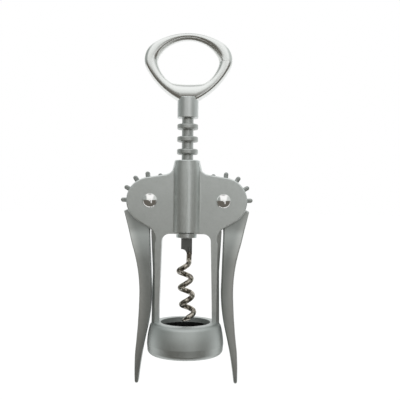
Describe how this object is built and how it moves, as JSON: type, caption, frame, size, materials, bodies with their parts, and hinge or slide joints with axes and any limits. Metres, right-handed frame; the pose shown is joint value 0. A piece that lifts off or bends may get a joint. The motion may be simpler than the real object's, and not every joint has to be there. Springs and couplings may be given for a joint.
{
  "type": "wing corkscrew",
  "caption": "Wing corkscrew with two geared levers, an annular rack, a ring handle with a bottle opener, a wire worm and a bell that sits on the bottle.",
  "frame": {"origin": "centre of the bell's mouth, where the bottle enters", "axes": "+Z along the spindle towards the ring handle, +X towards the right lever, the front faces -Y"},
  "size_m": [0.0672, 0.039, 0.1786],
  "materials": {
    "satin_zinc": "satin plated zinc casting",
    "lever_zinc": "satin plated zinc casting",
    "polished_ring": "half-bright plated zinc",
    "collar_metal": "brushed along its axis",
    "rack_metal": "as cast, slightly rough",
    "rod_steel": "drawn steel",
    "rivet_chrome": "polished",
    "worm_steel": "half-bright steel wire",
    "black_plastic": "glossy"
  },
  "bodies": {
    "frame": {"frame_casting": "satin_zinc", "bottle_ring": "black_plastic", "pivot_rivet_left": "rivet_chrome", "pivot_rivet_right": "rivet_chrome"},
    "lever_left": {"lever_left": "lever_zinc"},
    "lever_right": {"lever_right": "lever_zinc"},
    "rack": {"rack_sleeve": "rack_metal"},
    "handle": {"handle_ring": "polished_ring", "handle_collar": "collar_metal", "core_rod": "rod_steel", "end_collar": "collar_metal", "worm": "worm_steel", "worm_pin": "rod_steel"}
  },
  "joints": [
    {"name": "rack_slide", "type": "slide", "parent": "frame", "child": "rack", "axis": [0, 0, -1], "range_m": [0, 0.03]},
    {"name": "lever_left_pivot", "type": "hinge", "parent": "frame", "child": "lever_left", "pos_m": [-0.01875, 0, 0.0777], "axis": [0, 1, 0], "range_deg": [0, 130.5]},
    {"name": "lever_right_pivot", "type": "hinge", "parent": "frame", "child": "lever_right", "pos_m": [0.01875, 0, 0.0777], "axis": [0, -1, 0], "range_deg": [0, 130.5]},
    {"name": "handle_spin", "type": "hinge", "parent": "rack", "child": "handle", "pos_m": [0, 0, 0.0777], "axis": [0, 0, 1], "continuous": true}
  ],
  "couplings": [
    {"joint": "lever_left_pivot", "follows": "rack_slide", "rad_per_m": 75.757},
    {"joint": "lever_right_pivot", "follows": "rack_slide", "rad_per_m": 75.757}
  ]
}
